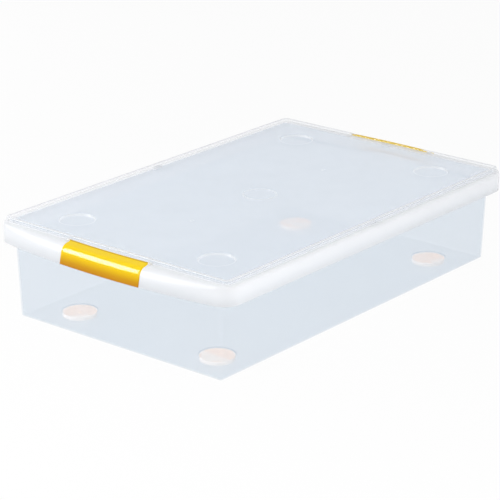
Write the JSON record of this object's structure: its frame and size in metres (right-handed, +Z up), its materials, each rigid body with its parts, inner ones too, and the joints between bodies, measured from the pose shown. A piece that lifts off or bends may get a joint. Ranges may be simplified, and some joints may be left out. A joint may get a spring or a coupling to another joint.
{
  "type": "under bed storage box",
  "caption": "Low see-through storage box with a frosted-rimmed lid, a yellow buckle on each short end and swivel castors set into its floor.",
  "frame": {"origin": "on the ground under the middle of the box", "axes": "+X along the length towards the far buckle, +Y across the width, +Z up"},
  "size_m": [0.7574, 0.464, 0.1752],
  "materials": {
    "clear_plastic": "clear, glossy, faintly blue polypropylene",
    "lid_plastic": "clear panel with a frosted rim",
    "buckle_plastic": "glossy warm yellow",
    "castor_plastic": "matt pale peach",
    "wheel_plastic": "matt pale peach, slightly polished on the tread",
    "axle_steel": "plain bright wire"
  },
  "bodies": {
    "tub": {"base_tub": "clear_plastic", "castor_housing_1": "castor_plastic", "castor_housing_2": "castor_plastic", "castor_housing_3": "castor_plastic", "castor_housing_4": "castor_plastic"},
    "lid": {"lid": "lid_plastic"},
    "buckle_near": {"buckle_near": "buckle_plastic"},
    "buckle_far": {"buckle_far": "buckle_plastic"},
    "castor_swivel_1": {"castor_swivel_1": "castor_plastic", "castor_axle_1": "axle_steel"},
    "castor_wheel_1": {"castor_wheel_1": "wheel_plastic"},
    "castor_swivel_2": {"castor_swivel_2": "castor_plastic", "castor_axle_2": "axle_steel"},
    "castor_wheel_2": {"castor_wheel_2": "wheel_plastic"},
    "castor_swivel_3": {"castor_swivel_3": "castor_plastic", "castor_axle_3": "axle_steel"},
    "castor_wheel_3": {"castor_wheel_3": "wheel_plastic"},
    "castor_swivel_4": {"castor_swivel_4": "castor_plastic", "castor_axle_4": "axle_steel"},
    "castor_wheel_4": {"castor_wheel_4": "wheel_plastic"}
  },
  "joints": [
    {"name": "lid_lift", "type": "slide", "parent": "tub", "child": "lid", "axis": [0, 0, 1], "range_m": [0, 0.25]},
    {"name": "buckle_near_hinge", "type": "hinge", "parent": "lid", "child": "buckle_near", "pos_m": [-0.35132, 0, 0.1702], "axis": [0, 1, 0], "range_deg": [0, 115]},
    {"name": "buckle_far_hinge", "type": "hinge", "parent": "lid", "child": "buckle_far", "pos_m": [0.35132, 0, 0.1702], "axis": [0, -1, 0], "range_deg": [0, 115]},
    {"name": "castor_1_swivel", "type": "hinge", "parent": "tub", "child": "castor_swivel_1", "pos_m": [-0.272, -0.1405, 0.0121], "axis": [0, 0, 1], "continuous": true},
    {"name": "castor_1_wheel", "type": "hinge", "parent": "castor_swivel_1", "child": "castor_wheel_1", "pos_m": [-0.25899, -0.1405, 0.007], "axis": [0, 1, 0], "continuous": true},
    {"name": "castor_2_swivel", "type": "hinge", "parent": "tub", "child": "castor_swivel_2", "pos_m": [-0.272, 0.1405, 0.0121], "axis": [0, 0, 1], "continuous": true},
    {"name": "castor_2_wheel", "type": "hinge", "parent": "castor_swivel_2", "child": "castor_wheel_2", "pos_m": [-0.25899, 0.1405, 0.007], "axis": [0, 1, 0], "continuous": true},
    {"name": "castor_3_swivel", "type": "hinge", "parent": "tub", "child": "castor_swivel_3", "pos_m": [0.272, -0.1405, 0.0121], "axis": [0, 0, 1], "continuous": true},
    {"name": "castor_3_wheel", "type": "hinge", "parent": "castor_swivel_3", "child": "castor_wheel_3", "pos_m": [0.28501, -0.1405, 0.007], "axis": [0, 1, 0], "continuous": true},
    {"name": "castor_4_swivel", "type": "hinge", "parent": "tub", "child": "castor_swivel_4", "pos_m": [0.272, 0.1405, 0.0121], "axis": [0, 0, 1], "continuous": true},
    {"name": "castor_4_wheel", "type": "hinge", "parent": "castor_swivel_4", "child": "castor_wheel_4", "pos_m": [0.28501, 0.1405, 0.007], "axis": [0, 1, 0], "continuous": true}
  ]
}
